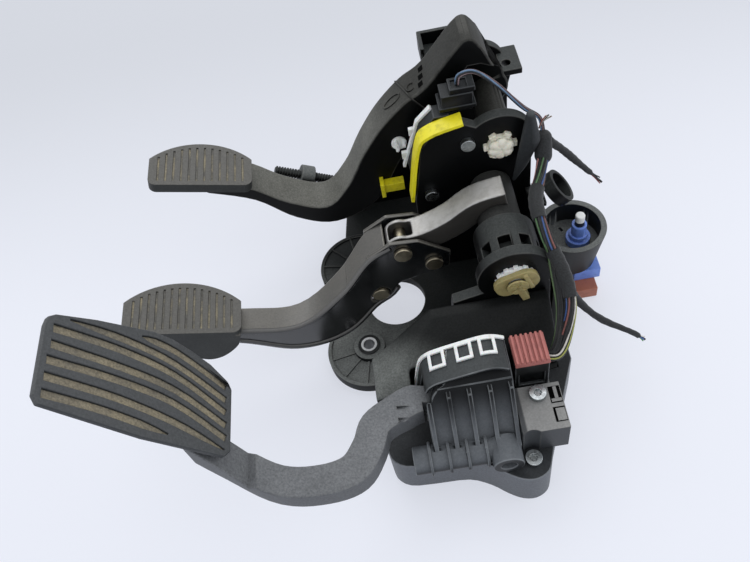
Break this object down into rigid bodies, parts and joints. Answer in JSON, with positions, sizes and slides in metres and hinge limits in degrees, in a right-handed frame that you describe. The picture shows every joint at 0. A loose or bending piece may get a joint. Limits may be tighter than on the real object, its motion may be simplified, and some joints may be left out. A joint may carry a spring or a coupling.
{
  "type": "pedal box",
  "caption": "Car pedal box: moulded bracket that bolts to a bulkhead and carries hinged clutch, brake and accelerator pedals, their sensors, a stop lamp switch and wiring.",
  "frame": {"origin": "centre of the brake push rod hole on the face that lies against the bulkhead, which is also the middle of the four stud holes", "axes": "+Z out of the bulkhead towards the driver, +X up the car, +Y along the hinge axes from the accelerator to the clutch"},
  "size_m": [0.3537, 0.3172, 0.2242],
  "materials": {
    "bracket_plastic": "moulded glass-filled black plastic, slightly dusty",
    "module_plastic": "moulded black plastic with a soft sheen",
    "arm_plastic": "speckled brown-grey moulded plastic",
    "pad_rubber": "worn dusty rubber",
    "accelerator_pad_plastic": "dark blue-grey plastic, dusty in its grooves",
    "arm_paint": "dark paint on pressed steel, glossy on its sides",
    "bare_steel": "worn bare steel",
    "plated_steel": "zinc plated steel",
    "rivet_steel": "yellowed plating on steel",
    "hub_steel": "grey coated steel tube",
    "bush_plastic": "pale bearing plastic",
    "cream_plastic": "cream natural nylon",
    "white_plastic": "white moulded plastic",
    "yellow_plastic": "yellow moulded plastic",
    "blue_plastic": "blue moulded plastic",
    "brown_plastic": "brown moulded plastic",
    "maroon_plastic": "maroon moulded plastic",
    "wire_skin": "coloured wire insulation",
    "loom_tape": "black wiring tape with wires showing",
    "flap_rubber": "thin black rubber"
  },
  "bodies": {
    "bracket": {"bracket": "bracket_plastic", "bracket_flank": "bracket_plastic", "bracket_platform": "bracket_plastic", "bracket_near_wall": "bracket_plastic", "bracket_middle_wall": "bracket_plastic", "bracket_far_wall": "bracket_plastic", "bracket_rear_wall": "bracket_plastic", "bulkhead_bushes": "plated_steel", "switch_cup": "bracket_plastic", "cable_guide": "bracket_plastic", "wall_bolts": "plated_steel", "brake_pivot_pin": "plated_steel", "brake_pivot_washer": "white_plastic", "brake_pivot_clip": "cream_plastic", "clutch_pivot_pin": "plated_steel", "clutch_pivot_clip": "cream_plastic", "clutch_stop_stud": "bracket_plastic", "clutch_stop_disc": "bracket_plastic", "clutch_sensor": "module_plastic", "clutch_sensor_strip": "white_plastic", "clutch_connector": "module_plastic", "sensor_leaf": "yellow_plastic", "accelerator_housing": "module_plastic", "accelerator_cover": "module_plastic", "cover_strip": "white_plastic", "accelerator_sensor": "module_plastic", "accelerator_plug": "module_plastic", "accelerator_plug_cap": "maroon_plastic", "accelerator_screws": "plated_steel", "accelerator_pivot_pin": "plated_steel", "accelerator_spring": "plated_steel", "switch_body": "blue_plastic", "switch_connector": "brown_plastic", "loom_upper_run": "wire_skin", "loom_joint": "loom_tape", "loom_lower_run": "loom_tape", "loom_flap": "flap_rubber", "upper_tail_cord": "loom_tape", "lower_tail_cord": "loom_tape"},
    "brake_pedal": {"brake_arm": "arm_paint", "brake_pad": "pad_rubber", "brake_lever": "bare_steel", "brake_lever_pin": "rivet_steel", "brake_rivets": "rivet_steel", "brake_hub": "hub_steel", "brake_bushes": "bush_plastic"},
    "clutch_pedal": {"clutch_arm": "arm_plastic", "clutch_pad": "pad_rubber", "clutch_hub_sleeve": "hub_steel", "clutch_bushes": "bush_plastic", "pushrod_pin": "white_plastic", "pushrod_clip": "yellow_plastic"},
    "accelerator_pedal": {"accelerator_arm": "arm_plastic", "accelerator_pad": "accelerator_pad_plastic"},
    "plunger": {"switch_plunger": "white_plastic"}
  },
  "joints": [
    {"name": "brake_hinge", "type": "hinge", "parent": "bracket", "child": "brake_pedal", "pos_m": [0.082, 0, 0.096], "axis": [0, 1, 0], "range_deg": [0, 22]},
    {"name": "clutch_hinge", "type": "hinge", "parent": "bracket", "child": "clutch_pedal", "pos_m": [0.09, 0.071, 0.134], "axis": [0, 1, 0], "range_deg": [-17, 0], "stiffness_Nm_per_rad": 6, "springref_deg": 28.65},
    {"name": "accelerator_hinge", "type": "hinge", "parent": "bracket", "child": "accelerator_pedal", "pos_m": [0.036, -0.121, 0.057], "axis": [0, 1, 0], "range_deg": [-16, 0], "stiffness_Nm_per_rad": 8, "springref_deg": 17.19},
    {"name": "plunger_slide", "type": "slide", "parent": "bracket", "child": "plunger", "axis": [0, 0, -1], "range_m": [0, 0.008], "stiffness_N_per_m": 600, "springref_m": -0.004}
  ]
}
